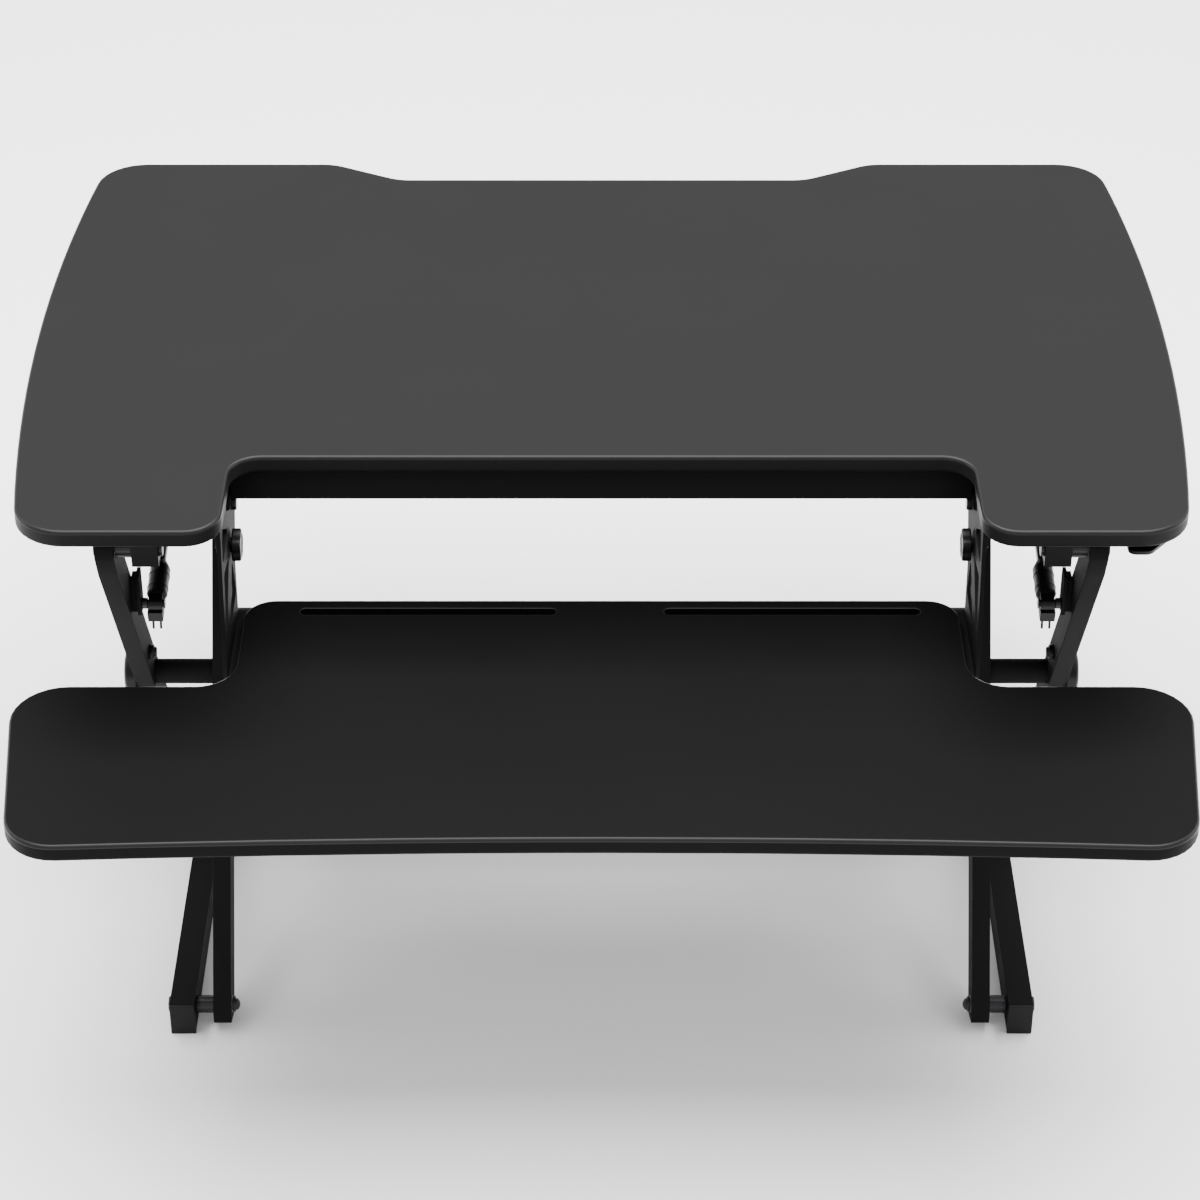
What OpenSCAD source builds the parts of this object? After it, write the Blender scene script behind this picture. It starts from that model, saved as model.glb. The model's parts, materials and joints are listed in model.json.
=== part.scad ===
// Standing desk converter: desktop and keyboard tray on a scissor lift with two gas struts.

/* [Heights] */
// Height of the desktop's upper face above the table
desk_height = 500; // [420:1:500]
// How far the keyboard tray's upper face hangs below the desktop's upper face
tray_drop = 135; // [120:1:140]

/* [Boards] */
// Depth of the desktop
desk_depth = 611; // [600:1:620]
// Half of the desktop's greatest width
desk_half = 471.5; // [465:0.5:480]
// Thickness of the desktop and of the keyboard tray
board_t = 15; // [12:1:18]
// Half of the width of the recess in the desktop's front edge
recess_half = 293; // [290:1:295]
// Depth of the recess in the desktop's front edge
recess_depth = 108; // [100:1:110]
// Depth of the notch in the desktop's rear edge
notch_depth = 30.5; // [20:0.5:40]
// How far the tray's front corners stand forward of the desktop's front edge
tray_front = 217; // [210:1:225]
// Half of the keyboard tray's greatest width, before its corners are rounded
tray_half = 463; // [455:0.5:465]
// How much the tray's front edge is hollowed at its middle
tray_hollow = 11; // [4:1:16]
// Width of a groove that holds a tablet
groove_w = 9; // [8:0.5:10]
// Length of a groove that holds a tablet
groove_len = 207; // [180:1:210]
// Depth of a groove that holds a tablet
groove_deep = 8; // [5:0.5:10]

/* [Scissor] */
// Distance from an arm's lower pivot to the scissor's middle
lower_half = 282; // [280:1:284]
// Distance from the scissor's middle to an arm's upper pivot
upper_half = 264; // [262:1:266]
// Depth of an arm's bar, across its length
arm_h = 30; // [26:1:30]
// Thickness of an arm's bar
arm_w = 15; // [14:0.5:15]
// Distance of an inner arm's middle from the middle of the object
inner_arm_x = 319.5; // [319:0.5:320.5]
// Distance of an outer arm's middle from the middle of the object
outer_arm_x = 383.5; // [383:0.5:384]
// Radius of the round crossbar at the scissor's middle
crossbar_r = 10.5; // [9:0.5:11]

/* [Rails] */
// Height of a base rail's section
rail_h = 28; // [27:0.5:29]
// Height of a top rail's section
top_rail_h = 24; // [24:0.5:25]
// Width of a rail's section
rail_w = 21; // [20:0.5:22]
// Thickness of a rail's sheet
rail_t = 2.5; // [2:0.5:3]
// Thickness of the rubber feet under the base
foot_t = 2; // [1.5:0.5:3]

/* [Gas struts] */
// Distance along an outer arm from its upper pivot to the strut's pin
strut_reach = 113; // [111:1:114]
// Length of a strut's cylinder
cylinder_len = 115; // [110:1:116]
// Radius of a strut's cylinder
cylinder_r = 9; // [8:0.5:9]
// Radius of a strut's rod
rod_r = 4; // [3.5:0.5:4]

/* [Hidden] */
$fn = 48;
fit = 0.05;
wall = 2;

base_y = 9;
pivot_r = 4;
bolt_r = 7;
base_z = foot_t + rail_h / 2;
top_z = desk_height - board_t - top_rail_h / 2;
under_z = desk_height - board_t;
arm_length = lower_half + upper_half;
arm_angle = asin((top_z - base_z) / arm_length);
top_y = base_y + (lower_half - upper_half) * cos(arm_angle);
mid_y = base_y + lower_half * cos(arm_angle);
mid_z = base_z + lower_half * sin(arm_angle);
eye_r = 12;
eye_taper = 20;
foot_end = 8.5;
foot_round = 5;
foot_nose = 15.2;
foot_drop = 8.1;

rail_x = 352.5;
rail_in = rail_x - rail_w / 2;
rail_out = rail_x + rail_w / 2;
rail_front = -8;
rail_back = 577;
top_rail_front = 13;
top_rail_back = 583;
cap_t = 3;
plug_back = 30;

inner_in = inner_arm_x - arm_w / 2;
inner_out = inner_arm_x + arm_w / 2;
outer_in = outer_arm_x - arm_w / 2;
outer_out = outer_arm_x + arm_w / 2;

low_roller_r = rail_h / 2 - rail_t - 0.3;
high_roller_r = top_rail_h / 2 - rail_t - 0.3;
roller_w = 12;
roller_x = rail_x - roller_w / 2;
stub_r = 6;
mid_bush_r = 9;
hub_r = 18.5;

strut_x = 358;
strut_pin_r = 3;
head_r = 8.3;
head_front = 6;
head_len = 45;
anchor_y = 305;
anchor_z = desk_height - 76;
float_y = 308.75;
float_z = desk_height - 80;
float_r = 10;
cheek_in = 10.5;
eye_back = 12;

tray_z = desk_height - tray_drop;
tray_under = tray_z - board_t;
hanger_in = 296;
hanger_t = 3;
knob_y = 90;
knob_z = desk_height - 72;
screw_y = 118;
screw_z = desk_height - 50;
lever_x = 421;
lever_y = 74;
lever_z = under_z - 6;

// ---- placing ----

// Moves a shape from the desktop's front edge to the object's own origin.
module placed() {
    translate([0, -origin_y, 0]) children();
}

// Side 1 is the right-hand side and side -1 its mirror image on the left.
module on_side(side) {
    mirror([side < 0 ? 1 : 0, 0, 0]) children();
}

module both_sides() {
    for (side = [-1, 1]) on_side(side) children();
}

// Frame of an inner arm: its length runs along +Y from the base pivot.
module on_inner_arm() {
    translate([0, base_y, base_z]) rotate([arm_angle, 0, 0]) children();
}

// Frame of an outer arm: its length runs along +Y from the top pivot.
module on_outer_arm() {
    translate([0, top_y, top_z]) rotate([-arm_angle, 0, 0]) children();
}

// ---- shared shapes ----

// A round bar along X from x0 to x1 at a place in Y and Z.
module bar_x(x0, x1, r, y = 0, z = 0) {
    translate([x0, y, z]) rotate([0, 90, 0]) cylinder(h = x1 - x0, r = r);
}

module box(x0, x1, y0, y1, z0, z1) {
    translate([x0, y0, z0]) cube([x1 - x0, y1 - y0, z1 - z0]);
}

function unit(v) = v / norm(v);

function wrap(a) = a > 180 ? a - 360 : (a < -180 ? a + 360 : a);

// Points of the round that replaces corner b between its neighbours a and c.
function corner(a, b, c, r, n) = r == 0 ? [b] :
    let (
        u = unit(a - b),
        w = unit(c - b),
        half = acos(u * w) / 2,
        centre = b + unit(u + w) * r / sin(half),
        start = b + u * r / tan(half) - centre,
        end = b + w * r / tan(half) - centre,
        from = atan2(start.y, start.x),
        turn = wrap(atan2(end.y, end.x) - from)
    )
    [for (i = [0:n]) centre + r * [cos(from + turn * i / n), sin(from + turn * i / n)]];

function xy(p) = [p[0], p[1]];

// Rounds a closed outline; each point holds its place and its corner's radius.
function rounded(pts, n = 8) = let (count = len(pts))
    [for (i = [0:count - 1])
        let (before = xy(pts[(i + count - 1) % count]), after = xy(pts[(i + 1) % count]))
            for (q = corner(before, xy(pts[i]), after, pts[i][2], n)) q];

function mirrored(half) =
    concat(half, [for (i = [len(half) - 1:-1:0]) [-half[i][0], half[i][1], half[i][2]]]);

// ---- outlines of the two boards ----

side_bow = 21.5;
side_r = (pow(desk_depth / 2, 2) + pow(side_bow, 2)) / (2 * side_bow);
function side_x(y) = desk_half - side_r + sqrt(pow(side_r, 2) - pow(y - desk_depth / 2, 2));
notch_half = 183;
notch_run = 60;
notch_round = 42;

desk_outline = rounded(mirrored(concat(
    [[recess_half, recess_depth, 24], [recess_half, 0, 28], [side_x(0), 0, 42]],
    [for (k = [2:18]) [side_x(desk_depth * k / 20), desk_depth * k / 20, 0]],
    [[side_x(desk_depth), desk_depth, 42], [notch_half + notch_run, desk_depth, notch_round],
     [notch_half, desk_depth - notch_depth, notch_round]]
)));

tray_tip = 441;
tongue_half = 289;
tongue_back = 105.7;
wing_back = -13;
hollow_r = (pow(tray_tip, 2) + pow(tray_hollow, 2)) / (2 * tray_hollow);
function hollow_y(x) = tray_hollow - tray_front - hollow_r + sqrt(pow(hollow_r, 2) - x * x);

tray_outline = rounded(mirrored(concat(
    [for (k = [0:8]) [49 * k + 0.5, hollow_y(49 * k + 0.5), 0]],
    [[tray_tip, -tray_front, 40], [tray_half, wing_back, 42], [tongue_half, wing_back, 30],
     [tongue_half, tongue_back, 26]]
)));

origin_y = (desk_depth + min([for (p = tray_outline) p[1]])) / 2;

module desk_plan() {
    polygon(desk_outline);
}

module tray_plan() {
    polygon(tray_outline);
}

// ---- base ----

// A C-section rail. The open side faces away from the web.
module rail(y0, y1, z0, h, web_x) {
    box(rail_in, rail_out, y0, y1, z0, z0 + rail_t);
    box(rail_in, rail_out, y0, y1, z0 + h - rail_t, z0 + h);
    box(web_x, web_x + rail_t, y0, y1, z0, z0 + h);
}

module base_rail(side) {
    color("#26272a") placed() on_side(side) difference() {
        rail(rail_front, rail_back, foot_t, rail_h, rail_in);
        bar_x(rail_in - 1, rail_in + rail_t + 1, pivot_r, base_y, base_z);
    }
}

// A plastic nose over the rail's end with a block that fills the section behind it.
module base_front_caps() {
    color("#1b1c1e") placed() both_sides() difference() {
        union() {
            box(rail_in + rail_t, rail_out, rail_front, plug_back,
                foot_t + rail_t, foot_t + rail_h - rail_t);
            box(rail_in, rail_out, rail_front - cap_t, rail_front, 0, foot_t + rail_h);
        }
        bar_x(rail_in, rail_out + 1, pivot_r, base_y, base_z);
    }
}

module base_rear_caps() {
    color("#1b1c1e") placed() both_sides() {
        box(rail_in, rail_out, rail_back, rail_back + cap_t, foot_t, foot_t + rail_h);
        box(rail_in + rail_t, rail_out, rail_back - 8, rail_back, foot_t + rail_t, foot_t + rail_h - rail_t);
    }
}

module base_feet() {
    color("#141414") placed() both_sides() for (y = [rail_front + 2, rail_back - 42])
        box(rail_in + 2, rail_out - 2, y, y + 40, 0, foot_t);
}

module base_crossbar() {
    color("#26272a") placed() difference() {
        box(-rail_in, rail_in, rail_back - 27, rail_back - 7, foot_t + 2, foot_t + 22);
        box(-rail_in - 1, rail_in + 1, rail_back - 27 + wall, rail_back - 7 - wall,
            foot_t + 2 + wall, foot_t + 22 - wall);
    }
}

module base_pivot_bolts() {
    color("#1d1e20") placed() both_sides() {
        bar_x(inner_in - 0.3, rail_out, pivot_r, base_y, base_z);
        bar_x(rail_out, rail_out + 2.8, 6.5, base_y, base_z);
        bar_x(inner_in - 2.3, inner_in - 0.3, 6.5, base_y, base_z);
        translate([inner_in - 2.3, base_y, base_z]) rotate([0, -90, 0])
            cylinder(h = 2.6, r1 = 5.6, r2 = 3.2);
    }
}

module base_pivot_spacers() {
    color("#3a3b3e") placed() both_sides() difference() {
        bar_x(inner_out + 0.3, rail_in, 7.5, base_y, base_z);
        bar_x(inner_out, rail_in + 1, pivot_r, base_y, base_z);
    }
}

// ---- inner arms ----

// An arm's side outline: a foot whose nose stands upright at rest, and a round eye at its top.
module arm_outline() {
    nose_top = (arm_h / 2 * sin(arm_angle) - foot_nose) / cos(arm_angle);
    nose_end = -foot_nose * cos(arm_angle) - foot_drop * sin(arm_angle);
    nose_side = foot_nose * sin(arm_angle) - foot_drop * cos(arm_angle);
    polygon(rounded([[-foot_end, -arm_h / 2, foot_round], [arm_length - eye_taper, -arm_h / 2, 0],
                     [arm_length, -eye_r, 0], [arm_length, eye_r, 0],
                     [arm_length - eye_taper, arm_h / 2, 0], [nose_top, arm_h / 2, 1],
                     [nose_end, nose_side, 1.5]]));
    translate([arm_length, 0]) circle(eye_r);
}

// A flat bar bored at its foot, its middle and its eye.
module arm_bar(x_mid, foot_r, mid_r, top_r) {
    difference() {
        translate([x_mid - arm_w / 2, 0, 0]) rotate([90, 0, 90]) linear_extrude(arm_w) arm_outline();
        bar_x(x_mid - arm_w, x_mid + arm_w, foot_r, 0, 0);
        bar_x(x_mid - arm_w, x_mid + arm_w, mid_r, lower_half, 0);
        bar_x(x_mid - arm_w, x_mid + arm_w, top_r, arm_length, 0);
    }
}

// A round bush pressed into an eye at a distance along the arm.
module bush_x(x_mid, at, r_out, r_in) {
    difference() {
        bar_x(x_mid - arm_w / 2, x_mid + arm_w / 2, r_out, at, 0);
        bar_x(x_mid - arm_w, x_mid + arm_w, r_in, at, 0);
    }
}

module inner_arm(side) {
    color("#2c2d30") placed() on_side(side) on_inner_arm()
        arm_bar(inner_arm_x, bolt_r, crossbar_r, pivot_r);
}

module inner_arm_bushes() {
    color("#d8d4c8") placed() both_sides() on_inner_arm()
        bush_x(inner_arm_x, 0, bolt_r, pivot_r + fit);
}

// The round bar that joins both inner arms and carries the outer arms on its turned ends.
module scissor_crossbar() {
    color("#232427") placed() {
        bar_x(-outer_in + 0.3, outer_in - 0.3, crossbar_r, mid_y, mid_z);
        both_sides() bar_x(outer_in - 0.3, outer_out + 3, stub_r, mid_y, mid_z);
    }
}

module upper_roller_pins() {
    color("#3a3b3e") placed() both_sides() on_inner_arm() {
        bar_x(inner_in - 2.5, inner_in, stub_r, arm_length, 0);
        bar_x(inner_in, roller_x + roller_w + 0.3, pivot_r, arm_length, 0);
        bar_x(roller_x + roller_w + 0.3, roller_x + roller_w + 1.5, 5.5, arm_length, 0);
        bar_x(inner_out, rail_in - 1, stub_r, arm_length, 0);
    }
}

// ---- outer arms ----

module outer_arm(side) {
    color("#2c2d30") placed() on_side(side) on_outer_arm() difference() {
        translate([0, arm_length, 0]) mirror([0, 1, 0])
            arm_bar(outer_arm_x, pivot_r, mid_bush_r, bolt_r);
        bar_x(outer_in - 1, outer_out + 1, strut_pin_r, strut_reach, 0);
    }
}

module outer_arm_bushes() {
    color("#d8d4c8") placed() both_sides() on_outer_arm() {
        bush_x(outer_arm_x, 0, bolt_r, pivot_r + fit);
        bush_x(outer_arm_x, upper_half, mid_bush_r, stub_r + fit);
    }
}

// Round plastic caps over the ends of the crossbar.
module pivot_caps() {
    color("#1b1c1e") placed() both_sides() difference() {
        union() {
            bar_x(outer_out, outer_out + 8, hub_r, mid_y, mid_z);
            translate([outer_out + 8, mid_y, mid_z]) rotate([0, 90, 0])
                cylinder(h = 2, r1 = hub_r, r2 = hub_r - 2.5);
        }
        bar_x(outer_out - 1, outer_out + 3.5, stub_r + 0.5, mid_y, mid_z);
    }
}

module lower_roller_pins() {
    color("#3a3b3e") placed() both_sides() on_outer_arm() {
        bar_x(outer_out, outer_out + 2.5, stub_r, arm_length, 0);
        bar_x(roller_x - 0.3, outer_out, pivot_r, arm_length, 0);
        bar_x(roller_x - 1.5, roller_x - 0.3, 5.5, arm_length, 0);
        bar_x(rail_out + 1, outer_in, stub_r, arm_length, 0);
    }
}

// An upright plate held off the arm's inner face by a block, with the strut's pin at its foot.
module strut_brackets() {
    color("#303134") placed() both_sides() on_outer_arm() difference() {
        translate([0, strut_reach, 0]) rotate([arm_angle, 0, 0]) {
            box(outer_in - 7, outer_in - 4, -7, 9, -7, 29);
            box(outer_in - 4, outer_in, -5, 8, -5, 26);
        }
        bar_x(outer_in - 8, outer_in + 1, strut_pin_r, strut_reach, 0);
    }
}

module strut_pins() {
    color("#4a4b4e") placed() both_sides() on_outer_arm() {
        bar_x(strut_x - 6.5, outer_out, strut_pin_r, strut_reach, 0);
        bar_x(strut_x - 7.5, strut_x - 6.5, 4.5, strut_reach, 0);
        bar_x(outer_out, outer_out + 1.5, 5, strut_reach, 0);
        bar_x(strut_x + 6.5, outer_in - 7, 4.5, strut_reach, 0);
    }
}

module travel_stops() {
    color("#17181a") placed() both_sides() on_outer_arm() {
        bar_x(outer_in - 4, outer_in, 6, upper_half - 45, 0);
        bar_x(outer_in - 6, outer_in - 4, 4, upper_half - 45, 0);
    }
}

// ---- rollers ----

module roller(x0, r) {
    difference() {
        bar_x(x0, x0 + roller_w, r);
        bar_x(x0 - 1, x0 + roller_w + 1, pivot_r + fit);
    }
}

module upper_roller(side) {
    color("#d8d4c8") placed() on_side(side) on_inner_arm() translate([0, arm_length, 0])
        roller(roller_x, high_roller_r);
}

module lower_roller(side) {
    color("#d8d4c8") placed() on_side(side) on_outer_arm() translate([0, arm_length, 0])
        roller(roller_x, low_roller_r);
}

// ---- gas struts ----

pin_y = top_y + strut_reach * cos(arm_angle);
pin_z = top_z - strut_reach * sin(arm_angle);
strut_angle = atan2(anchor_z - pin_z, anchor_y - pin_y);
strut_len = norm([anchor_y - pin_y, anchor_z - pin_z]);
piston_at = 120;

// Frame of a strut: its length runs along +Y from the pin on the outer arm.
module on_strut(side) {
    placed() on_side(side) translate([strut_x, pin_y, pin_z]) rotate([strut_angle, 0, 0]) children();
}

module bar_y(y0, y1, r) {
    translate([0, y0, 0]) rotate([-90, 0, 0]) cylinder(h = y1 - y0, r = r);
}

module strut_head(side) {
    color("#0f0f10") on_strut(side) difference() {
        union() {
            bar_x(-5.5, 5.5, 5.5);
            box(-5.5, 5.5, 0, head_front + 3, -5.5, 5.5);
            translate([0, head_front, 0]) rotate([-90, 0, 0]) cylinder(h = 4, r1 = 6.5, r2 = head_r);
            bar_y(head_front + 4, head_len - 7, head_r);
            translate([0, head_len - 7, 0]) rotate([-90, 0, 0]) cylinder(h = 7, r1 = head_r, r2 = 5.5);
        }
        bar_x(-head_r - 1, head_r + 1, strut_pin_r + fit);
        bar_y(head_len - 14, head_len + 1, rod_r);
    }
}

module strut_rod(side) {
    color("#8d8f92") on_strut(side) {
        bar_y(head_len - 14, piston_at, rod_r);
        bar_y(piston_at, piston_at + 10, cylinder_r - wall - 0.1);
    }
}

// A small block under the strut's head that grips the two wires of its release.
module wire_clamp(side) {
    color("#1b1c1e") on_strut(side) {
        box(-5, 7, -6, 6, -15, -5.5);
        for (x = [-2, 4]) {
            translate([x, 0, -21]) cylinder(h = 7, r = 1);
            translate([x, 0, -21]) rotate([-28, 0, 0]) translate([0, 0, -6]) cylinder(h = 6.5, r = 1);
        }
    }
}

module strut_cylinder(side) {
    back = strut_len - eye_back;
    front = back - cylinder_len;
    color("#1c1d1f") on_strut(side) {
        difference() {
            bar_y(front, back, cylinder_r);
            bar_y(front + 10, back - 6, cylinder_r - wall);
            bar_y(front - 1, front + 11, rod_r + fit);
        }
        box(-3, 3, back, strut_len, -6, 6);
        bar_x(-3, 3, 7, strut_len, 0);
        bar_x(-15.6, 15.6, 4, strut_len, 0);
        for (s = [-1, 1]) translate([s * 14.8, 0, 0]) bar_x(-0.8, 0.8, 12.5, strut_len, 0);
    }
}

// ---- top frame ----

module desktop() {
    color("#3c3c3d") placed() translate([0, 0, under_z]) linear_extrude(board_t) desk_plan();
}

module top_rail(side) {
    color("#26272a") placed() on_side(side) difference() {
        rail(top_rail_front, top_rail_back, under_z - top_rail_h, top_rail_h, rail_out - rail_t);
        bar_x(rail_out - rail_t - 1, rail_out + 1, pivot_r, top_y, top_z);
    }
}

module top_rail_plugs() {
    low = under_z - top_rail_h;
    color("#1b1c1e") placed() both_sides() {
        difference() {
            union() {
                box(rail_in, rail_out - rail_t, top_rail_front, plug_back + 8,
                    low + rail_t, under_z - rail_t);
                box(rail_in, rail_out, top_rail_front - cap_t, top_rail_front, low, under_z);
            }
            bar_x(rail_in - 1, rail_out + 1, pivot_r, top_y, top_z);
        }
        box(rail_in, rail_out - rail_t, top_rail_back - 10, top_rail_back,
            low + rail_t, under_z - rail_t);
    }
}

// A folded sheet beam behind the recess's edge.
module front_beam() {
    color("#1e1f21") placed() difference() {
        box(-hanger_in, hanger_in, 113, 141, under_z - 28, under_z);
        box(-hanger_in - 9, hanger_in + 9, 113 + wall, 142, under_z - 28 + wall, under_z - wall);
    }
}

module rear_beam() {
    color("#26272a") placed() difference() {
        box(-rail_in, rail_in, 552, 572, under_z - 24, under_z);
        box(-rail_in - 1, rail_in + 1, 552 + wall, 572 - wall, under_z - 24 + wall, under_z - wall);
    }
}

module top_pivot_bolts() {
    color("#1d1e20") placed() both_sides() {
        bar_x(rail_in - 2.8, rail_in, 6.5, top_y, top_z);
        bar_x(rail_in, outer_out + 0.3, pivot_r, top_y, top_z);
        bar_x(outer_out + 0.3, outer_out + 1.5, 6.5, top_y, top_z);
    }
}

module top_pivot_spacers() {
    color("#3a3b3e") placed() both_sides() difference() {
        bar_x(rail_out, outer_in - 0.3, 7.5, top_y, top_z);
        bar_x(rail_out - 1, outer_in, pivot_r, top_y, top_z);
    }
}

// Two cheeks under the top rail, each with a wide hole in which the strut's rear pin floats.
module strut_anchors() {
    top = under_z - top_rail_h;
    color("#26272a") placed() both_sides() difference() {
        union() {
            for (x = [strut_x - cheek_in - 3, strut_x + cheek_in])
                box(x, x + 3, float_y - 18, float_y + 18, float_z - 16, top);
            box(strut_x - cheek_in - 3, strut_x + cheek_in + 3, float_y - 18, float_y + 18, top - 3, top);
        }
        bar_x(strut_x - 15, strut_x + 15, float_r, float_y, float_z);
    }
}

tab_places = [60, 210, 420, 545];

module desktop_tabs() {
    color("#26272a") placed() both_sides() for (y = tab_places) difference() {
        box(rail_out, rail_out + 20, y - 15, y + 15, under_z - rail_t, under_z);
        translate([rail_out + 11, y, under_z - 5]) cylinder(h = 6, r = 2.5);
    }
}

module desktop_screws() {
    color("#17181a") placed() both_sides() for (y = tab_places)
        translate([rail_out + 11, y, under_z]) {
            translate([0, 0, -rail_t]) cylinder(h = rail_t, r = 2.5);
            translate([0, 0, -rail_t - 2]) cylinder(h = 2, r = 4.5);
        }
}

// A plate under the desktop to which the tray's hanger is clamped.
module side_bracket(side) {
    out = hanger_in + hanger_t;
    color("#26272a") placed() on_side(side) difference() {
        union() {
            translate([out, 0, 0]) rotate([90, 0, 90]) linear_extrude(hanger_t)
                polygon([[32, under_z], [142, under_z], [142, under_z - 42], [112, under_z - 66],
                         [80, under_z - 68], [58, under_z - 52]]);
            box(out, out + 34, 32, 142, under_z - hanger_t, under_z);
        }
        bar_x(out - 1, out + hanger_t + 1, 3, knob_y, knob_z);
        bar_x(out - 1, out + hanger_t + 1, 3, screw_y, screw_z);
    }
}

// ---- keyboard tray ----

// A three-cornered window with rounded corners.
module window(points, r) {
    hull() for (p = points) translate(p) circle(r, $fn = 24);
}

// A pressed plate with weight-saving windows and a flange under the tray.
module hanger(side) {
    z0 = tray_under - hanger_t;
    top = under_z - 4;
    color("#2b2c2f") placed() on_side(side) difference() {
        union() {
            translate([hanger_in, 0, 0]) rotate([90, 0, 90]) linear_extrude(hanger_t) difference() {
                polygon([[33, top], [136, top], [140, top - 41], [114, top - 83], [110, z0],
                         [14, z0], [14, top - 120], [32, top - 14]]);
                window([[46, top - 14], [72, top - 30], [42, top - 32]], 4);
                window([[118, top - 12], [102, top - 22], [84, top - 12]], 4);
                window([[42, top - 52], [68, top - 56], [34, top - 92]], 4);
                window([[92, top - 76], [100, top - 104], [62, top - 106]], 4);
            }
            box(hanger_in - 34, hanger_in, 14, 112, z0, tray_under);
        }
        bar_x(hanger_in - 1, hanger_in + hanger_t + 1, 3, knob_y, knob_z);
        bar_x(hanger_in - 1, hanger_in + hanger_t + 1, 3, screw_y, screw_z);
        for (y = [36, 72]) translate([hanger_in - 14, y, z0 - 1]) cylinder(h = hanger_t + 2, r = 2.2);
    }
}

// Rear bolts that hold the hangers to the side brackets.
module hanger_bolts() {
    out = hanger_in + 2 * hanger_t;
    color("#17181a") placed() both_sides() {
        bar_x(hanger_in - 4, hanger_in, 5.5, screw_y, screw_z);
        bar_x(hanger_in, out, 3, screw_y, screw_z);
        bar_x(out, out + 4, 5.5, screw_y, screw_z);
    }
}

module tray_screws() {
    z0 = tray_under - hanger_t;
    color("#17181a") placed() both_sides() for (y = [36, 72]) translate([hanger_in - 14, y, z0]) {
        cylinder(h = hanger_t, r = 2.2);
        translate([0, 0, -2]) cylinder(h = 2, r = 4.5);
    }
}

// One groove, round at both ends, cut from the tray's upper face.
module groove(x0, x1, y) {
    translate([0, 0, tray_z - groove_deep]) {
        for (x = [x0 + groove_w / 2, x1 - groove_w / 2])
            translate([x, y, 0]) cylinder(h = groove_deep + 1, r = groove_w / 2);
        box(x0 + groove_w / 2, x1 - groove_w / 2, y - groove_w / 2, y + groove_w / 2, 0, groove_deep + 1);
    }
}

module keyboard_tray() {
    color("#27272a") placed() difference() {
        translate([0, 0, tray_under]) linear_extrude(board_t) tray_plan();
        for (x = [-140, 154]) groove(x - groove_len / 2, x + groove_len / 2, 88.5);
    }
}

// ---- knobs ----

lobes = 5;

// A lobed hand knob on a screw that clamps the hanger to its bracket, closed by a dome nut.
module knob(side) {
    out = hanger_in + 2 * hanger_t;
    color("#101011") placed() on_side(side) translate([0, knob_y, knob_z]) {
        bar_x(hanger_in - 9, hanger_in - 1.5, 10);
        for (i = [0:lobes - 1]) rotate([i * 360 / lobes, 0, 0])
            bar_x(hanger_in - 9, hanger_in - 1.5, 4.5, 9.2, 0);
        bar_x(hanger_in - 1.5, hanger_in - 0.4, 6);
        bar_x(hanger_in - 0.4, out + 0.4, 3 - fit);
        bar_x(out + 0.4, out + 3.2, 5.5);
        bar_x(out + 3.2, out + 6.5, 3 - fit);
    }
}

// ---- release lever ----

module lever_bracket() {
    color("#26272a") placed() difference() {
        union() {
            box(lever_x - 18, lever_x + 18, lever_y - 8, lever_y + 30, under_z - wall, under_z);
            for (x = [lever_x - 18, lever_x + 16])
                box(x, x + wall, lever_y - 8, lever_y + 14, lever_z - 5, under_z);
        }
        bar_x(lever_x - 20, lever_x + 20, 2, lever_y, lever_z);
    }
}

module lever_pin() {
    color("#4a4b4e") placed() {
        bar_x(lever_x - 18, lever_x + 18, 2, lever_y, lever_z);
        bar_x(lever_x - 19.5, lever_x - 18, 3.5, lever_y, lever_z);
    }
}

// A paddle that is squeezed up towards the desktop's edge.
module release_lever() {
    color("#0f0f10") placed() difference() {
        union() {
            bar_x(lever_x - 15.6, lever_x + 15.6, 4, lever_y, lever_z);
            box(lever_x - 11, lever_x + 11, 50, lever_y, lever_z - 1.5, lever_z + 1.5);
            translate([0, 0, lever_z - 1.5]) linear_extrude(3)
                polygon(rounded([[405, 2, 6], [422, 2, 9], [437, 20, 9], [437, 62, 6], [405, 62, 6]], 6));
        }
        bar_x(lever_x - 17, lever_x + 17, 2 + fit, lever_y, lever_z);
    }
}

base_rail(-1);  // base_rail_left
base_rail(1);  // base_rail_right
base_front_caps();
base_rear_caps();
base_feet();
base_crossbar();
base_pivot_bolts();
base_pivot_spacers();
inner_arm(-1);  // inner_arm_left
inner_arm(1);  // inner_arm_right
inner_arm_bushes();
scissor_crossbar();
upper_roller_pins();
outer_arm(-1);  // outer_arm_left
outer_arm(1);  // outer_arm_right
outer_arm_bushes();
pivot_caps();
lower_roller_pins();
strut_brackets();
strut_pins();
travel_stops();
upper_roller(-1);  // upper_roller_left
upper_roller(1);  // upper_roller_right
lower_roller(-1);  // lower_roller_left
lower_roller(1);  // lower_roller_right
strut_head(-1);  // strut_head_left
strut_head(1);  // strut_head_right
strut_rod(-1);  // strut_rod_left
strut_rod(1);  // strut_rod_right
wire_clamp(-1);  // wire_clamp_left
wire_clamp(1);  // wire_clamp_right
strut_cylinder(-1);  // strut_cylinder_left
strut_cylinder(1);  // strut_cylinder_right
desktop();
top_rail(-1);  // top_rail_left
top_rail(1);  // top_rail_right
top_rail_plugs();
front_beam();
rear_beam();
top_pivot_bolts();
top_pivot_spacers();
strut_anchors();
desktop_tabs();
desktop_screws();
side_bracket(-1);  // side_bracket_left
side_bracket(1);  // side_bracket_right
hanger(-1);  // hanger_left
hanger(1);  // hanger_right
hanger_bolts();
tray_screws();
keyboard_tray();
knob(-1);  // knob_left
knob(1);  // knob_right
lever_bracket();
lever_pin();
release_lever();
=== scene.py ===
"""Visual model of a standing desk converter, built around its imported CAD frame."""

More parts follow.
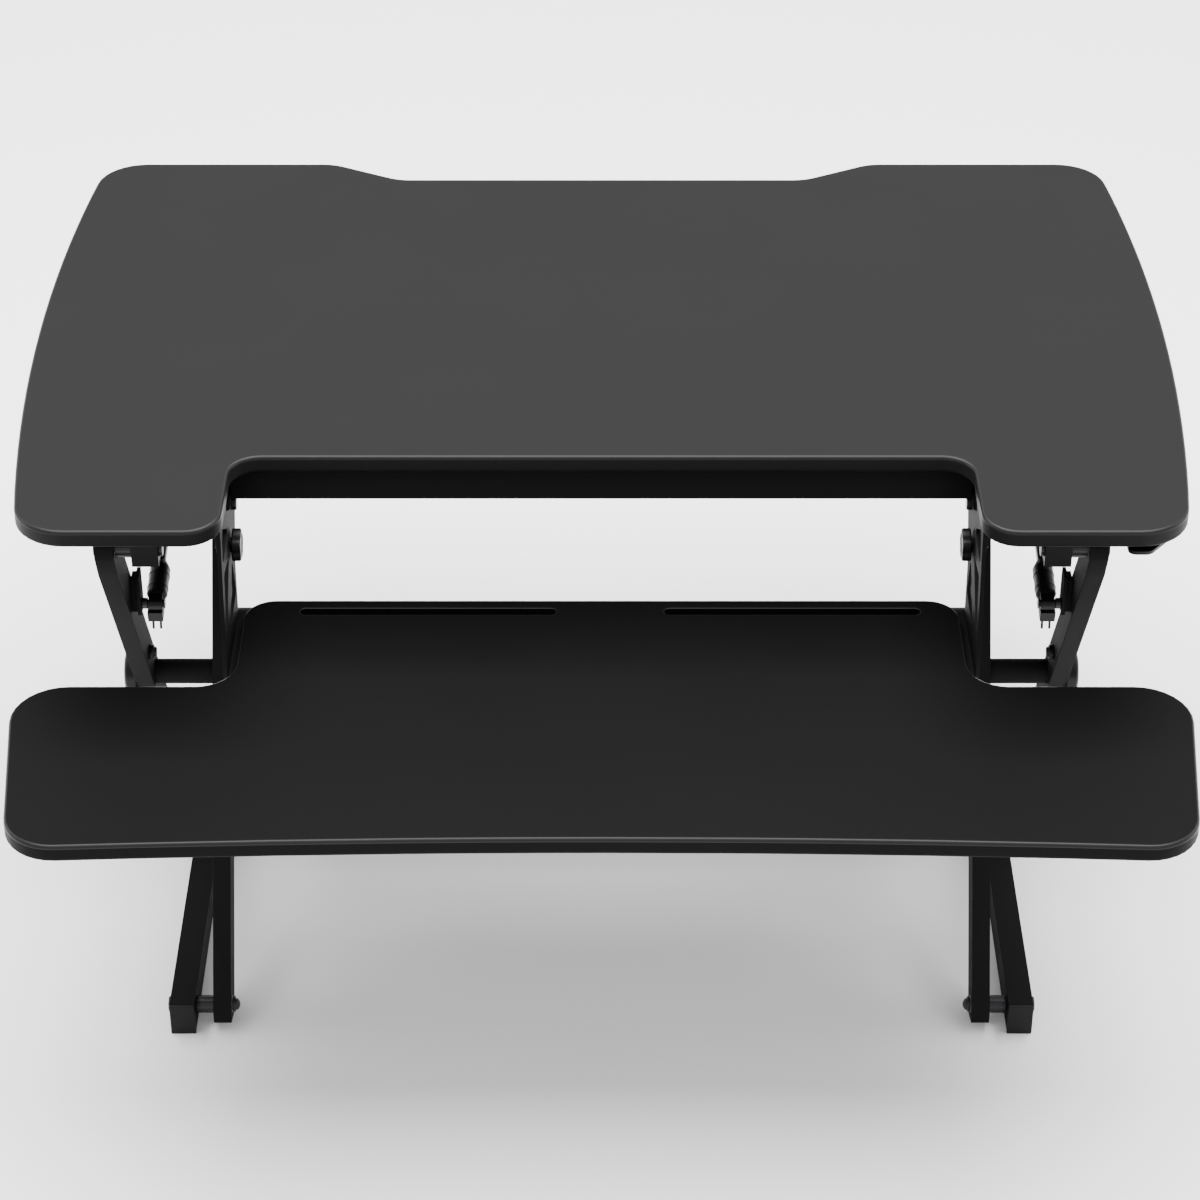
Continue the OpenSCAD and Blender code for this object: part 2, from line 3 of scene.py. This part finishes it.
import json
import logging
import math
from dataclasses import dataclass, field
from enum import Enum

import bmesh
import bpy
from mathutils import Matrix, Vector


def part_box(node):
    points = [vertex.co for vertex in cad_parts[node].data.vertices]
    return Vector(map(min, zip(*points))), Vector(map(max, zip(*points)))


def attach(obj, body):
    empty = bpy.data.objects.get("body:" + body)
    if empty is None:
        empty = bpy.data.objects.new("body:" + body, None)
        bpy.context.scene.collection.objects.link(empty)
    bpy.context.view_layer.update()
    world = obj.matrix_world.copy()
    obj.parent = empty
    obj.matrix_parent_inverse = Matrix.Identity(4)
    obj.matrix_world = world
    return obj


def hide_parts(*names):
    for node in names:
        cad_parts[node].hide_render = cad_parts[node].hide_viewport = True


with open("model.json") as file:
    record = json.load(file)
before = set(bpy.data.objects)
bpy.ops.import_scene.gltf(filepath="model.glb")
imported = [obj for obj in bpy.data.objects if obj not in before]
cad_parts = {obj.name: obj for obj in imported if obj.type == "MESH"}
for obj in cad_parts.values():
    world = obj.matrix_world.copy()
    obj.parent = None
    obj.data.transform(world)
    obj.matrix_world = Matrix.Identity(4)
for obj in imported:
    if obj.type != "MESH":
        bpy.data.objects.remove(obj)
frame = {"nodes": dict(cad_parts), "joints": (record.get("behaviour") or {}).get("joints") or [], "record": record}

log = logging.getLogger("desk_riser")
MM = 0.001

LEVEL_SLACK = 0.01 * MM  # heights closer than this count as one
DRIFT_SCALE = 9.0  # slow changes of colour and gloss, in waves per metre
DRIFT_SHARE = 0.35  # how much of a colour's change is slow
RELIEF_STRENGTH = 0.35
BRUSH_STRETCH = 0.06  # how far a metal's grain is drawn out along Y


class Surface(Enum):
    """The families of surface that the object shows."""

    LAMINATE = "laminate"
    COATED = "coated"
    MOULDED = "moulded"
    METAL = "metal"


@dataclass(frozen=True)
class Finish:
    """One finish: its colour, gloss and the fine texture of its surface.

    Attributes:
        name: Name of the material.
        surface: Family of the surface.
        colour: Linear base colour.
        roughness: Mean roughness.
        spread: How far the roughness strays either way.
        mottle: How far the colour strays, as a share of itself.
        grain: Texture's size, in grains per metre.
        depth: Height of the grain, in metres.
        specular: Strength of the clear reflection.
    """

    name: str
    surface: Surface
    colour: tuple[float, float, float]
    roughness: float
    spread: float = 0.05
    mottle: float = 0.12
    grain: float = 900.0
    depth: float = 0.00012
    specular: float = 0.5

    def material(self) -> bpy.types.Material:
        """Makes this finish's material, or finds it when it is made already.

        Returns:
            The material.
        """
        own_name = f"{self.name}_finish"
        found = bpy.data.materials.get(own_name)
        if found:
            return found
        mat = bpy.data.materials.new(own_name)
        mat.use_nodes = True
        tree = mat.node_tree
        shader = tree.nodes["Principled BSDF"]
        shader.inputs["Specular IOR Level"].default_value = self.specular
        shader.inputs["Metallic"].default_value = 1.0 if self.surface is Surface.METAL else 0.0
        place = tree.nodes.new("ShaderNodeTexCoord").outputs["Object"]
        if self.surface is Surface.METAL:
            stretch = tree.nodes.new("ShaderNodeMapping")
            stretch.inputs["Scale"].default_value = (1.0, BRUSH_STRETCH, 1.0)
            tree.links.new(place, stretch.inputs["Vector"])
            place = stretch.outputs["Vector"]
        fine = self._noise(tree, place, self.grain, 3.0)
        broad = self._noise(tree, place, DRIFT_SCALE, 2.0)
        self._paint(tree, shader, fine, broad)
        self._gloss(tree, shader, broad)
        self._relief(tree, shader, fine)
        return mat

    def _noise(self, tree: bpy.types.NodeTree, place: bpy.types.NodeSocket, scale: float,
               detail: float) -> bpy.types.NodeSocket:
        """Adds a noise texture and returns its strength.

        Args:
            tree: The material's nodes.
            place: Coordinates that the texture reads.
            scale: Scale of the noise.
            detail: Octaves of the noise.

        Returns:
            The noise's factor socket.
        """
        noise = tree.nodes.new("ShaderNodeTexNoise")
        noise.inputs["Scale"].default_value = scale
        noise.inputs["Detail"].default_value = detail
        tree.links.new(place, noise.inputs["Vector"])
        return noise.outputs["Fac"]

    def _paint(self, tree: bpy.types.NodeTree, shader: bpy.types.Node,
               fine: bpy.types.NodeSocket, broad: bpy.types.NodeSocket) -> None:
        """Colours the surface with a fine fleck over a slow drift.

        Args:
            tree: The material's nodes.
            shader: The surface shader that takes the colour.
            fine: Strength of the fine noise.
            broad: Strength of the slow noise.
        """
        both = tree.nodes.new("ShaderNodeMix")
        both.inputs["Factor"].default_value = DRIFT_SHARE
        tree.links.new(fine, both.inputs[2])
        tree.links.new(broad, both.inputs[3])
        ramp = tree.nodes.new("ShaderNodeValToRGB")
        ramp.color_ramp.elements[0].position = 0.3
        ramp.color_ramp.elements[1].position = 0.7
        for element, sign in zip(ramp.color_ramp.elements, (-1.0, 1.0)):
            element.color = (*(c * (1 + sign * self.mottle) for c in self.colour), 1.0)
        tree.links.new(both.outputs[0], ramp.inputs["Fac"])
        tree.links.new(ramp.outputs["Color"], shader.inputs["Base Color"])

    def _gloss(self, tree: bpy.types.NodeTree, shader: bpy.types.Node,
               broad: bpy.types.NodeSocket) -> None:
        """Varies the roughness slowly across the surface.

        Args:
            tree: The material's nodes.
            shader: The surface shader that takes the roughness.
            broad: Strength of the slow noise.
        """
        reach = tree.nodes.new("ShaderNodeMapRange")
        reach.inputs["From Min"].default_value = 0.3
        reach.inputs["From Max"].default_value = 1.1
        reach.inputs["To Min"].default_value = self.roughness - self.spread
        reach.inputs["To Max"].default_value = self.roughness + self.spread
        tree.links.new(broad, reach.inputs["Value"])
        tree.links.new(reach.outputs["Result"], shader.inputs["Roughness"])

    def _relief(self, tree: bpy.types.NodeTree, shader: bpy.types.Node,
                fine: bpy.types.NodeSocket) -> None:
        """Raises the grain a little.

        Args:
            tree: The material's nodes.
            shader: The surface shader that takes the relief.
            fine: Strength of the fine noise.
        """
        bump = tree.nodes.new("ShaderNodeBump")
        bump.inputs["Strength"].default_value = RELIEF_STRENGTH
        bump.inputs["Distance"].default_value = self.depth
        tree.links.new(fine, bump.inputs["Height"])
        tree.links.new(bump.outputs["Normal"], shader.inputs["Normal"])


DESK_LAMINATE = Finish("desk_laminate", Surface.LAMINATE, (0.0082, 0.0082, 0.0084), 0.48,
                       spread=0.02, mottle=0.1, grain=1400.0, depth=0.00008, specular=0.055)
TRAY_LAMINATE = Finish("tray_laminate", Surface.LAMINATE, (0.0024, 0.0024, 0.0025), 0.46,
                       spread=0.02, mottle=0.1, grain=1400.0, depth=0.00008, specular=0.035)
# Glossier laminate for the boards' sloped top rim faces and groove lips. On the desktop it keeps the board's
# colour; on the tray it is lighter than the tray, a painted highlight along the edges.
RIM_GLOSS_AND_PAINTED_HIGHLIGHT = Finish("rim_gloss_and_painted_highlight", Surface.MOULDED, (0.0080, 0.0080, 0.0082), 0.36, spread=0.03,
                   grain=900.0, depth=0.00005, specular=0.15)
POWDER_COAT = Finish("powder_coat", Surface.COATED, (0.0078, 0.0078, 0.0082), 0.58,
                     grain=1100.0, depth=0.00014, specular=0.02)
BLACK_PLASTIC = Finish("black_plastic", Surface.MOULDED, (0.0048, 0.0048, 0.0053), 0.4,
                       grain=700.0, specular=0.16)
BLACK_RUBBER = Finish("black_rubber", Surface.MOULDED, (0.012, 0.012, 0.012), 0.75, grain=600.0)
PALE_NYLON = Finish("pale_nylon", Surface.MOULDED, (0.55, 0.53, 0.47), 0.4, mottle=0.05)
BLACKENED_STEEL = Finish("blackened_steel", Surface.COATED, (0.016, 0.016, 0.018), 0.3,
                         grain=1600.0, depth=0.00006, specular=0.25)
STRUT_STEEL = Finish("strut_steel", Surface.METAL, (0.11, 0.11, 0.12), 0.28, grain=2400.0,
                     depth=0.00003)

FINISH_OF_SLOT = {
    "desktop_laminate": DESK_LAMINATE,
    "tray_laminate": TRAY_LAMINATE,
    "frame_paint": POWDER_COAT,
    "black_plastic": BLACK_PLASTIC,
    "foot_rubber": BLACK_RUBBER,
    "bush_plastic": PALE_NYLON,
    "black_steel": BLACKENED_STEEL,
    "strut_rod_steel": STRUT_STEEL,
}
SLOT_OF_NODE = {part["node"]: part["material_slot"] for part in frame["record"]["subparts"]}
BODY_OF_NODE = {node: body for body, nodes in frame["record"]["behaviour"]["bodies"].items()
                for node in nodes}
SIDES = ((1, "right"), (-1, "left"))


def finish_piece(bm: bmesh.types.BMesh, name: str, body: str, slot: str,
                 smooth_deg: float = 35.0) -> bpy.types.Object:
    """Makes a piece of a bmesh, shades it, dresses it and puts it on its body.

    Args:
        bm: The shape, which is freed.
        name: Name of the piece.
        body: The body that it rides on.
        slot: The material slot that it takes its finish from.
        smooth_deg: Edges sharper than this stay sharp.

    Returns:
        The piece's object.
    """
    mesh = bpy.data.meshes.new(name)
    bm.to_mesh(mesh)
    bm.free()
    mesh.polygons.foreach_set("use_smooth", [True] * len(mesh.polygons))
    mesh.set_sharp_from_angle(angle=math.radians(smooth_deg))
    piece = bpy.data.objects.new(name, mesh)
    bpy.context.scene.collection.objects.link(piece)
    mesh.materials.append(FINISH_OF_SLOT[slot].material())
    even = piece.modifiers.new("even_normals", "WEIGHTED_NORMAL")
    even.keep_sharp = True
    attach(piece, body)
    log.info("%s rides on %s with %d faces", name, body, len(mesh.polygons))
    return piece


def merged_copy(node: str) -> bmesh.types.BMesh:
    """Copies a node's shape, joins its loose triangles and makes its flats whole.

    Args:
        node: The CAD node.

    Returns:
        The shape, for the caller to free.
    """
    bm = bmesh.new()
    bm.from_mesh(frame["nodes"][node].data)
    bmesh.ops.remove_doubles(bm, verts=bm.verts[:], dist=2e-6)
    bmesh.ops.dissolve_limit(bm, angle_limit=math.radians(0.4), verts=bm.verts[:],
                             edges=bm.edges[:])
    return bm


def sharp_edges(bm: bmesh.types.BMesh, least_deg: float) -> list[bmesh.types.BMEdge]:
    """Finds the edges between two faces that meet at more than an angle.

    Args:
        bm: The shape.
        least_deg: The angle, in degrees.

    Returns:
        The edges.
    """
    least = math.radians(least_deg)
    return [e for e in bm.edges if len(e.link_faces) == 2 and e.calc_face_angle(0.0) > least]


def bevel(bm: bmesh.types.BMesh, edges: list[bmesh.types.BMEdge], width: float,
          segments: int) -> None:
    """Rounds some edges of a shape.

    Args:
        bm: The shape.
        edges: The edges to round.
        width: Width of each rounded edge, in metres.
        segments: Steps across each rounded edge.
    """
    bmesh.ops.bevel(bm, geom=edges, offset=width, offset_type="OFFSET", segments=segments,
                    profile=0.5, affect="EDGES", clamp_overlap=True, material=-1)


def softened(node: str, edge: float, segments: int = 2) -> bpy.types.Object:
    """Stands a copy of a node with rounded edges in for it.

    Args:
        node: The CAD node.
        edge: Width of the rounded edges, in metres.
        segments: Steps across each rounded edge.

    Returns:
        The piece's object.
    """
    bm = merged_copy(node)
    bevel(bm, sharp_edges(bm, 28.0), edge, segments)
    piece = finish_piece(bm, f"{node}_piece", BODY_OF_NODE[node], SLOT_OF_NODE[node])
    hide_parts(node)
    return piece


def ring_x(bm: bmesh.types.BMesh, at: Vector, x0: float, x1: float, r0: float, r1: float,
           sides: int = 40) -> list[bmesh.types.BMVert]:
    """Adds a round or many-sided bar along X, which may taper.

    Args:
        bm: The shape to add to.
        at: A point on the bar's axis.
        x0: Where it begins.
        x1: Where it ends.
        r0: Radius at its beginning.
        r1: Radius at its end.
        sides: Number of sides.

    Returns:
        The new vertices.
    """
    place = Matrix.Translation(((x0 + x1) / 2, at.y, at.z)) @ Matrix.Rotation(math.pi / 2, 4, "Y")
    made = bmesh.ops.create_cone(bm, cap_ends=True, segments=sides, radius1=r0, radius2=r1,
                                 depth=abs(x1 - x0), matrix=place)
    return made["verts"]


def to_side(side: int, bm: bmesh.types.BMesh) -> None:
    """Mirrors a right-hand shape where it is for the left.

    Args:
        side: 1 for right and -1 for left.
        bm: The shape.
    """
    if side < 0:
        bmesh.ops.scale(bm, vec=(-1.0, 1.0, 1.0), verts=bm.verts[:])
        bmesh.ops.reverse_faces(bm, faces=bm.faces[:])


@dataclass
class SubAssembly:
    """A group of CAD nodes whose edges are rounded by one width."""

    plain: dict[str, float] = field(default_factory=dict)

    def build(self) -> None:
        """Builds the group's pieces."""
        for node, edge in self.plain.items():
            softened(node, edge)


@dataclass
class Boards(SubAssembly):
    """The desktop and the keyboard tray, with a softly rounded rim whose top faces take a glossier finish, painted
    lighter than the tray as a highlight.
    """

    rim: float = 3.2 * MM
    rim_steps: int = 5
    # Normal heights between which a face takes the rim finish, glossier and, on the tray, painted lighter as a
    # highlight
    rim_highlight_slopes: tuple[float, float] = (0.12, 0.93)
    groove_edge: float = 0.8 * MM
    groove_y: float = -109.3 * MM
    groove_half_width: float = 5.5 * MM
    groove_reach: float = 262 * MM

    def build(self) -> None:
        """Builds both boards."""
        self._board("desktop")
        self._board("keyboard_tray")

    def _board(self, node: str) -> None:
        """Rounds the rim of a board, and the lips of its grooves by less, and gives their sloped top faces the
        glossy rim finish, which paints a highlight on the tray.

        Args:
            node: The board's CAD node.
        """
        low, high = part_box(node)
        bm = merged_copy(node)
        rims, lips = [], []
        for edge in sharp_edges(bm, 60.0):
            zs = [v.co.z for v in edge.verts]
            is_level = max(zs) - min(zs) <= LEVEL_SLACK
            is_inside = high.z - LEVEL_SLACK > zs[0] > low.z + LEVEL_SLACK
            if is_inside or not is_level:
                continue
            in_groove = node == "keyboard_tray" and all(self._near_groove(v.co) for v in edge.verts)
            (lips if in_groove else rims).append(edge)
        log.info("%s has %d rim and %d lip edges", node, len(rims), len(lips))
        bevel(bm, rims, self.rim, self.rim_steps)
        lips = [e for e in lips if e.is_valid]
        if lips:
            bevel(bm, lips, self.groove_edge, 2)
        # Sloped faces above the bottom rounding take the rim finish: glossier, and on the tray lighter than the
        # tray, a painted highlight.
        steepest, flattest = self.rim_highlight_slopes
        for face in bm.faces:
            is_sloped = steepest < face.normal.z < flattest
            if is_sloped and face.calc_center_median().z > low.z + self.rim:
                face.material_index = 1
        piece = finish_piece(bm, f"{node}_board", BODY_OF_NODE[node], SLOT_OF_NODE[node], 50.0)
        piece.data.materials.append(RIM_GLOSS_AND_PAINTED_HIGHLIGHT.material())
        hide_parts(node)

    def _near_groove(self, at: Vector) -> bool:
        """Says whether a point is on a tablet groove's outline.

        Args:
            at: The point.

        Returns:
            True on a groove's outline.
        """
        return abs(at.y - self.groove_y) < self.groove_half_width and abs(at.x) < self.groove_reach


@dataclass
class Fasteners(SubAssembly):
    """Bolts and nuts of the pivots, with flats and domes."""

    nut_r: float = 6.9 * MM
    nut_thick: float = 2.4 * MM
    nut_edge: float = 0.5 * MM
    nut_seat: float = 311.7 * MM
    dome_r: float = 5.3 * MM
    dome_flatness: float = 0.75
    dome_at: float = 2.2 * MM

    def build(self) -> None:
        """Dresses the plain bolts and adds dome nuts."""
        super().build()
        low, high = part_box("base_pivot_bolts")
        at = Vector((0.0, (low.y + high.y) / 2, (low.z + high.z) / 2))
        for side, word in SIDES:
            self._nut(at, side, word)

    def _nut(self, at: Vector, side: int, word: str) -> None:
        """Adds a hexagon dome nut on an inner arm's inner face.

        Args:
            at: A point on the bolt's axis.
            side: 1 for right and -1 for left.
            word: The side's name.
        """
        bm = bmesh.new()
        ring_x(bm, at, self.nut_seat - self.nut_thick, self.nut_seat, self.nut_r, self.nut_r, 6)
        bevel(bm, sharp_edges(bm, 40.0), self.nut_edge, 2)
        dome = bmesh.ops.create_uvsphere(bm, u_segments=32, v_segments=16, radius=self.dome_r)
        bmesh.ops.scale(bm, vec=(self.dome_flatness, 1.0, 1.0), verts=dome["verts"])
        bmesh.ops.translate(bm, vec=(self.nut_seat - self.dome_at, at.y, at.z),
                            verts=dome["verts"])
        to_side(side, bm)
        finish_piece(bm, f"base_pivot_nut_{word}", "base", "black_steel", 30.0)


@dataclass(frozen=True)
class Turning:
    """One turned length of a knob's stud.

    Attributes:
        start: Where it begins, outward from the hanger's inner face.
        end: Where it ends.
        start_r: Radius at its beginning.
        end_r: Radius at its end.
        sides: Number of sides.
    """

    start: float
    end: float
    start_r: float
    end_r: float
    sides: int = 40

    def add(self, bm: bmesh.types.BMesh, at: Vector, face_x: float) -> list[bmesh.types.BMVert]:
        """Adds this length to a shape.

        Args:
            bm: The shape.
            at: A point on the stud's axis.
            face_x: Where the hanger's inner face is.

        Returns:
            The new vertices.
        """
        return ring_x(bm, at, face_x + self.start, face_x + self.end, self.start_r, self.end_r,
                      self.sides)


@dataclass
class Knobs(SubAssembly):
    """Lobed hand knobs that clamp the tray's hangers."""

    lobes: int = 5
    waist: float = 0.18
    grip: Turning = Turning(-9 * MM, -1.5 * MM, 13.7 * MM, 13.7 * MM, 80)
    grip_edge: float = 1.5 * MM
    dish_rim: float = 2.6 * MM
    dish_wall: float = 0.5 * MM
    dish_depth: float = 0.7 * MM
    collar: Turning = Turning(-1.6 * MM, -0.4 * MM, 6 * MM, 6 * MM)
    stud: Turning = Turning(-0.5 * MM, 6.5 * MM, 2.95 * MM, 2.95 * MM)
    nut: Turning = Turning(6.4 * MM, 9.2 * MM, 5.5 * MM, 5.5 * MM, 6)
    nut_edge: float = 0.4 * MM
    tip: Turning = Turning(9.1 * MM, 12.5 * MM, 2.9 * MM, 2.3 * MM)
    hanger_t: float = 3 * MM

    def build(self) -> None:
        """Builds the two knobs."""
        for side, word in SIDES:
            self._knob(f"knob_{word}", side)

    def _knob(self, node: str, side: int) -> None:
        """Builds one knob round its CAD node's axis.

        Args:
            node: The knob's CAD node.
            side: 1 for right and -1 for left.
        """
        low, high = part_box(node)
        at = Vector((0.0, (low.y + high.y) / 2, (low.z + high.z) / 2))
        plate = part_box("hanger_right")[1].x - self.hanger_t
        bm = bmesh.new()
        for vert in self.grip.add(bm, at, plate):
            turn = math.atan2(vert.co.z - at.z, vert.co.y - at.y)
            pull = 1 - self.waist * (0.5 - 0.5 * math.cos(self.lobes * turn))
            vert.co.y = at.y + (vert.co.y - at.y) * pull
            vert.co.z = at.z + (vert.co.z - at.z) * pull
        bevel(bm, sharp_edges(bm, 60.0), self.grip_edge, 4)
        front = min((f for f in bm.faces if len(f.verts) > 8),
                    key=lambda f: f.calc_center_median().x)
        bmesh.ops.inset_region(bm, faces=[front], thickness=self.dish_rim, depth=0.0)
        bmesh.ops.inset_region(bm, faces=[front], thickness=self.dish_wall,
                               depth=-self.dish_depth)
        self.collar.add(bm, at, plate)
        self.stud.add(bm, at, plate)
        nut = self.nut.add(bm, at, plate)
        nut_rims = [e for e in sharp_edges(bm, 40.0) if any(v in nut for v in e.verts)]
        bevel(bm, nut_rims, self.nut_edge, 2)
        self.tip.add(bm, at, plate)
        to_side(side, bm)
        piece = finish_piece(bm, f"{node}_grip", BODY_OF_NODE[node], "black_plastic", 40.0)
        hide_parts(node)


@dataclass
class GasStruts(SubAssembly):
    """Heads, rods and cylinders of the two gas struts."""

    strut_x: float = 358 * MM
    ring_at: tuple[float, float] = (16 * MM, 30 * MM)
    ring_r: float = 8.7 * MM
    ring_width: float = 2.4 * MM
    ring_edge: float = 0.7 * MM

    def build(self) -> None:
        """Dresses the struts and rings their heads."""
        super().build()
        for side, word in SIDES:
            self._rings(side, word)

    def _rings(self, side: int, word: str) -> None:
        """Adds moulded rings round a strut's head.

        Args:
            side: 1 for right and -1 for left.
            word: The side's name.
        """
        joints = {j["name"]: j for j in frame["joints"]}
        along = Vector(joints["gas_spring_stroke"]["axis"])
        pin = Vector(joints["gas_spring_tilt"]["pos_m"]) + Vector((self.strut_x, 0, 0))
        lean = math.atan2(along.z, along.y)
        turn = Matrix.Rotation(lean - math.pi / 2, 4, "X")
        bm = bmesh.new()
        for at in self.ring_at:
            made = bmesh.ops.create_cone(
                bm, cap_ends=True, segments=40, radius1=self.ring_r, radius2=self.ring_r,
                depth=self.ring_width, matrix=Matrix.Translation(pin + along * at) @ turn)
            rims = [e for e in sharp_edges(bm, 60.0) if all(v in made["verts"] for v in e.verts)]
            bevel(bm, rims, self.ring_edge, 2)
        to_side(side, bm)
        finish_piece(bm, f"strut_head_rings_{word}", "gas_rods", "black_plastic", 30.0)


@dataclass(frozen=True)
class Lamp:
    """One square lamp that faces the desk.

    Attributes:
        name: Name of the lamp.
        at: Where it hangs.
        size: Length of its side, in metres.
        watts: Its power.
    """

    name: str
    at: tuple[float, float, float]
    size: float
    watts: float

    def hang(self, aim: tuple[float, float, float]) -> None:
        """Hangs the lamp.

        Args:
            aim: The point that it faces.
        """
        data = bpy.data.lights.new(self.name, "AREA")
        data.size = self.size
        data.energy = self.watts
        lamp = bpy.data.objects.new(self.name, data)
        lamp.location = self.at
        lamp.rotation_euler = (Vector(aim) - Vector(self.at)).to_track_quat("-Z", "Y").to_euler()
        bpy.context.scene.collection.objects.link(lamp)


@dataclass
class Studio:
    """Camera, lamps and floor."""

    lamps: tuple[Lamp, ...] = (
        Lamp("overhead", (0.0, 0.3, 3.6), 4.0, 620.0),
        Lamp("side_left", (-2.6, 0.4, 1.4), 1.4, 20.0),
        Lamp("side_right", (2.6, 0.4, 1.4), 1.4, 20.0),
    )
    aim: tuple[float, float, float] = (0.0, 0.0, 0.3)
    room_light: float = 1.25
    floor_grey: float = 0.93
    floor_reach: float = 30.0
    lens: float = 102.578
    camera_at: tuple[float, float, float] = (-0.0012, -2.380127, 1.93678)
    pitch_deg: float = 55.5

    def build(self) -> None:
        """Builds the whole studio."""
        self._camera()
        self._floor()
        self._lamps()

    def _camera(self) -> None:
        """Places the camera high in front of the desk."""
        data = bpy.data.cameras.new("camera")
        data.lens = self.lens
        data.sensor_width = 36.0
        data.clip_end = 100.0
        camera = bpy.data.objects.new("camera", data)
        camera.location = self.camera_at
        camera.rotation_euler = (math.radians(self.pitch_deg), 0.0, 0.0)
        bpy.context.scene.collection.objects.link(camera)
        bpy.context.scene.camera = camera

    def _floor(self) -> None:
        """Lays a pale floor under the feet."""
        bm = bmesh.new()
        bmesh.ops.create_grid(bm, x_segments=2, y_segments=2, size=self.floor_reach)
        mesh = bpy.data.meshes.new("floor")
        bm.to_mesh(mesh)
        bm.free()
        floor = bpy.data.objects.new("floor", mesh)
        bpy.context.scene.collection.objects.link(floor)
        mat = bpy.data.materials.new("pale_floor")
        mat.use_nodes = True
        shader = mat.node_tree.nodes["Principled BSDF"]
        shader.inputs["Base Color"].default_value = (*[self.floor_grey] * 3, 1.0)
        shader.inputs["Roughness"].default_value = 0.9
        shader.inputs["Specular IOR Level"].default_value = 0.1
        mesh.materials.append(mat)

    def _lamps(self) -> None:
        """Hangs wide soft lamps and fills the room with even light."""
        world = bpy.data.worlds.new("room")
        world.use_nodes = True
        room = world.node_tree.nodes["Background"]
        room.inputs["Color"].default_value = (1.0, 1.0, 1.0, 1.0)
        room.inputs["Strength"].default_value = self.room_light
        bpy.context.scene.world = world
        for lamp in self.lamps:
            lamp.hang(self.aim)


def dress_remaining() -> None:
    """Gives every CAD node its finish, whether or not a piece stands in for it."""
    for node, thing in frame["nodes"].items():
        mat = FINISH_OF_SLOT[SLOT_OF_NODE[node]].material()
        if not thing.material_slots:
            thing.data.materials.append(mat)
        for slot in thing.material_slots:
            slot.material = mat


def on_both(*names: str) -> list[str]:
    """Names the left and right nodes of some pairs.

    Args:
        names: The pairs' names without a side.

    Returns:
        The nodes' names.
    """
    return [f"{name}_{word}" for name in names for word in ("left", "right")]


ROUNDED = (
    (1.2 * MM, on_both("base_rail", "top_rail", "inner_arm", "outer_arm")),
    (0.8 * MM, ("base_front_caps", "base_rear_caps", "top_rail_plugs", "base_crossbar",
                "rear_beam", "front_beam", "pivot_caps", "release_lever", "travel_stops")),
    (0.5 * MM, (*on_both("side_bracket", "hanger", "wire_clamp"), "strut_anchors",
                "strut_brackets", "lever_bracket", "desktop_tabs", "base_feet")),
    (0.5 * MM, ("scissor_crossbar", "upper_roller_pins", "lower_roller_pins", "strut_pins",
                "desktop_screws", "tray_screws", "hanger_bolts",
                *on_both("upper_roller", "lower_roller"))),
)
PIVOT_BOLTS = ("base_pivot_bolts", "top_pivot_bolts", "base_pivot_spacers", "top_pivot_spacers")
STRUT_LENGTHS = on_both("strut_head", "strut_rod", "strut_cylinder")


def main() -> None:
    """Builds the studio and every sub-assembly in order."""
    logging.basicConfig(level=logging.INFO, format="%(message)s")
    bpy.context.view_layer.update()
    Studio().build()
    dress_remaining()
    Boards().build()
    for edge, nodes in ROUNDED:
        SubAssembly({node: edge for node in nodes}).build()
    Fasteners({node: 0.5 * MM for node in PIVOT_BOLTS}).build()
    GasStruts({node: 0.6 * MM for node in STRUT_LENGTHS}).build()
    Knobs().build()


if __name__ == "__main__":
    main()
